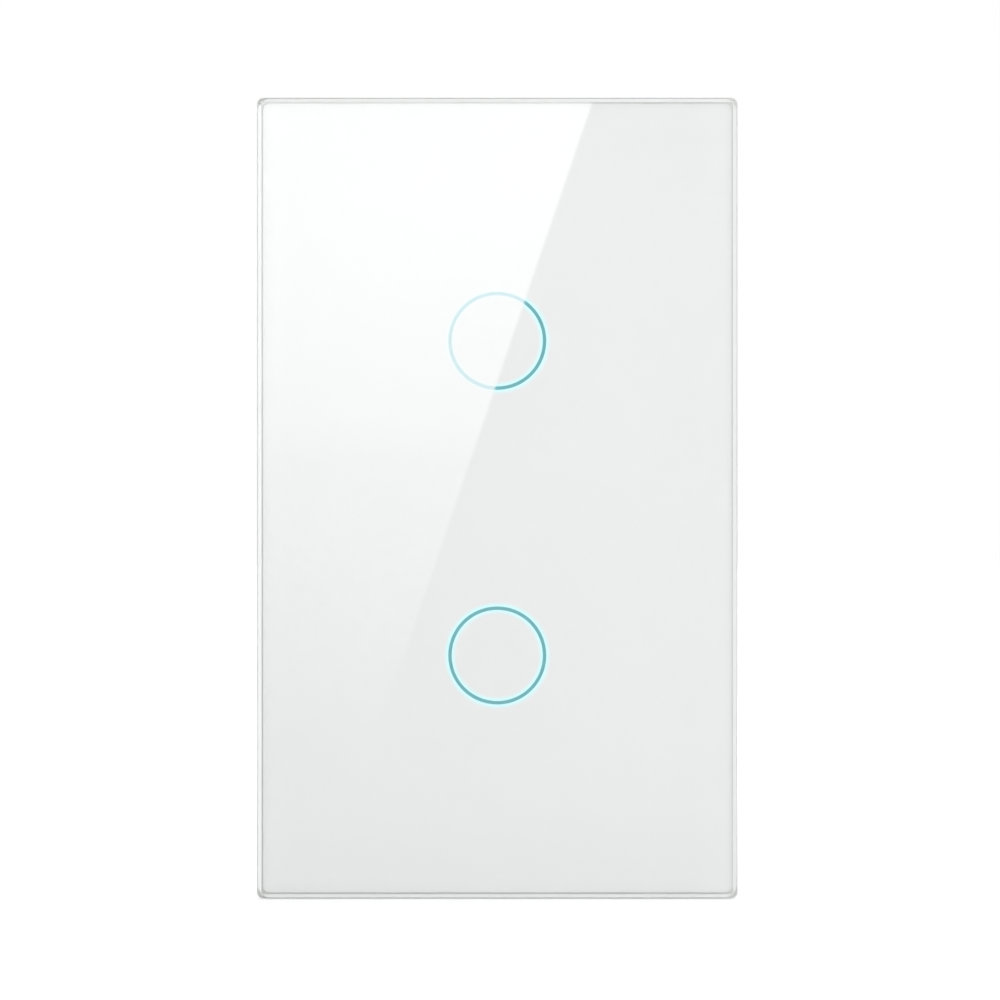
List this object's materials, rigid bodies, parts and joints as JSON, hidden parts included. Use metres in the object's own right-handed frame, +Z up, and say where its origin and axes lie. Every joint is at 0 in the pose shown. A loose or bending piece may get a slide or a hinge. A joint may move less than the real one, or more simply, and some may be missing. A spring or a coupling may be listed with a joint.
{
  "type": "touch light switch",
  "caption": "Wall-mounted touch light switch: flat white glass front with lit ring keys on a slim base, with a steel yoke and a rear housing for a wall box.",
  "frame": {"origin": "on the wall plane, midway between the two mounting slots, which is the middle of the plate", "axes": "+Z up, +X to the right as seen from the front, +Y into the wall; the glass faces -Y"},
  "size_m": [0.072, 0.035, 0.12],
  "materials": {
    "glass": "polished clear glass with bright chamfers",
    "enamel": "white enamel fired on the back of the glass",
    "foam_tape": "white foam tape",
    "white_moulding": "white flame-proof plastic, fine spark grain",
    "grey_moulding": "grey moulded plastic",
    "zinc_plate": "zinc-plated steel",
    "dark_steel": "blackened steel",
    "spring_steel": "bright stainless spring strip",
    "circuit_board": "green solder mask on glass-fibre board",
    "light_guide": "clear moulded light guide, lit blue-green",
    "lamp": "small surface-mounted lamps",
    "chip_black": "black moulded package",
    "gold_pin": "gold-plated pins",
    "ferrite": "dark sintered ferrite",
    "coil_tape": "yellow coil tape",
    "can_sleeve": "dark shrink sleeve on an aluminium can",
    "capacitor_box": "yellow boxed capacitor",
    "fuse_brown": "brown moulded fuse",
    "varistor_blue": "blue dipped disc",
    "relay_blue": "blue moulded relay cover",
    "copper_wire": "enamelled copper wire",
    "brass": "plain brass"
  },
  "bodies": {
    "base": {"base_frame": "white_moulding", "mounting_yoke": "zinc_plate", "retaining_clips": "spring_steel", "clip_rivets": "zinc_plate", "yoke_screws": "zinc_plate", "rear_housing": "white_moulding", "housing_screws": "dark_steel", "touch_board": "circuit_board", "board_screws": "zinc_plate", "light_ring_upper": "light_guide", "light_ring_lower": "light_guide", "ring_lamps": "lamp", "touch_spring_upper": "spring_steel", "touch_spring_lower": "spring_steel", "touch_chip": "chip_black", "radio_board": "circuit_board", "radio_shield": "zinc_plate", "header_body": "chip_black", "header_socket": "chip_black", "header_pins": "gold_pin", "power_board": "circuit_board", "transformer_frame": "ferrite", "transformer_coil": "coil_tape", "smoothing_capacitors": "can_sleeve", "line_capacitor": "capacitor_box", "choke": "ferrite", "fuse": "fuse_brown", "varistor": "varistor_blue", "rectifier": "chip_black", "component_leads": "zinc_plate", "terminal_block": "grey_moulding", "terminal_bars": "brass", "relay_cover_left": "relay_blue", "relay_base_left": "chip_black", "relay_frame_left": "zinc_plate", "relay_coil_left": "copper_wire", "relay_contacts_left": "brass", "relay_return_spring_left": "brass", "relay_cover_right": "relay_blue", "relay_base_right": "chip_black", "relay_frame_right": "zinc_plate", "relay_coil_right": "copper_wire", "relay_contacts_right": "brass", "relay_return_spring_right": "brass"},
    "front_panel": {"glass_panel": "glass", "back_print": "enamel", "panel_tape": "foam_tape", "panel_frame": "white_moulding"},
    "armature_left": {"relay_armature_left": "zinc_plate"},
    "armature_right": {"relay_armature_right": "zinc_plate"},
    "screw_1": {"terminal_screw_1": "zinc_plate"},
    "clamp_1": {"clamp_cage_1": "brass"},
    "screw_2": {"terminal_screw_2": "zinc_plate"},
    "clamp_2": {"clamp_cage_2": "brass"},
    "screw_3": {"terminal_screw_3": "zinc_plate"},
    "clamp_3": {"clamp_cage_3": "brass"},
    "screw_4": {"terminal_screw_4": "zinc_plate"},
    "clamp_4": {"clamp_cage_4": "brass"}
  },
  "joints": [
    {"name": "panel_pull", "type": "slide", "parent": "base", "child": "front_panel", "axis": [0, -1, 0], "range_m": [0, 0.02], "deforming": ["retaining_clips"]},
    {"name": "relay_left", "type": "hinge", "parent": "base", "child": "armature_left", "pos_m": [-0.0091, 0.0147, -0.0037], "axis": [-1, 0, 0], "range_deg": [0, 3.8], "stiffness_Nm_per_rad": 0.004, "springref_deg": -8.59, "deforming": ["relay_return_spring_left"]},
    {"name": "relay_right", "type": "hinge", "parent": "base", "child": "armature_right", "pos_m": [0.0091, 0.0147, -0.0037], "axis": [-1, 0, 0], "range_deg": [0, 3.8], "stiffness_Nm_per_rad": 0.004, "springref_deg": -8.59, "deforming": ["relay_return_spring_right"]},
    {"name": "clamp_rise_1", "type": "slide", "parent": "base", "child": "clamp_1", "axis": [0, 1, 0], "range_m": [0, 0.0022]},
    {"name": "screw_turn_1", "type": "hinge", "parent": "base", "child": "screw_1", "pos_m": [-0.01095, 0.0195, -0.028], "axis": [0, -1, 0], "range_deg": [0, 1584.1]},
    {"name": "clamp_rise_2", "type": "slide", "parent": "base", "child": "clamp_2", "axis": [0, 1, 0], "range_m": [0, 0.0022]},
    {"name": "screw_turn_2", "type": "hinge", "parent": "base", "child": "screw_2", "pos_m": [-0.00365, 0.0195, -0.028], "axis": [0, -1, 0], "range_deg": [0, 1584.1]},
    {"name": "clamp_rise_3", "type": "slide", "parent": "base", "child": "clamp_3", "axis": [0, 1, 0], "range_m": [0, 0.0022]},
    {"name": "screw_turn_3", "type": "hinge", "parent": "base", "child": "screw_3", "pos_m": [0.00365, 0.0195, -0.028], "axis": [0, -1, 0], "range_deg": [0, 1584.1]},
    {"name": "clamp_rise_4", "type": "slide", "parent": "base", "child": "clamp_4", "axis": [0, 1, 0], "range_m": [0, 0.0022]},
    {"name": "screw_turn_4", "type": "hinge", "parent": "base", "child": "screw_4", "pos_m": [0.01095, 0.0195, -0.028], "axis": [0, -1, 0], "range_deg": [0, 1584.1]}
  ],
  "couplings": [
    {"joint": "screw_turn_1", "follows": "clamp_rise_1", "rad_per_m": 12566},
    {"joint": "screw_turn_2", "follows": "clamp_rise_2", "rad_per_m": 12566},
    {"joint": "screw_turn_3", "follows": "clamp_rise_3", "rad_per_m": 12566},
    {"joint": "screw_turn_4", "follows": "clamp_rise_4", "rad_per_m": 12566}
  ]
}
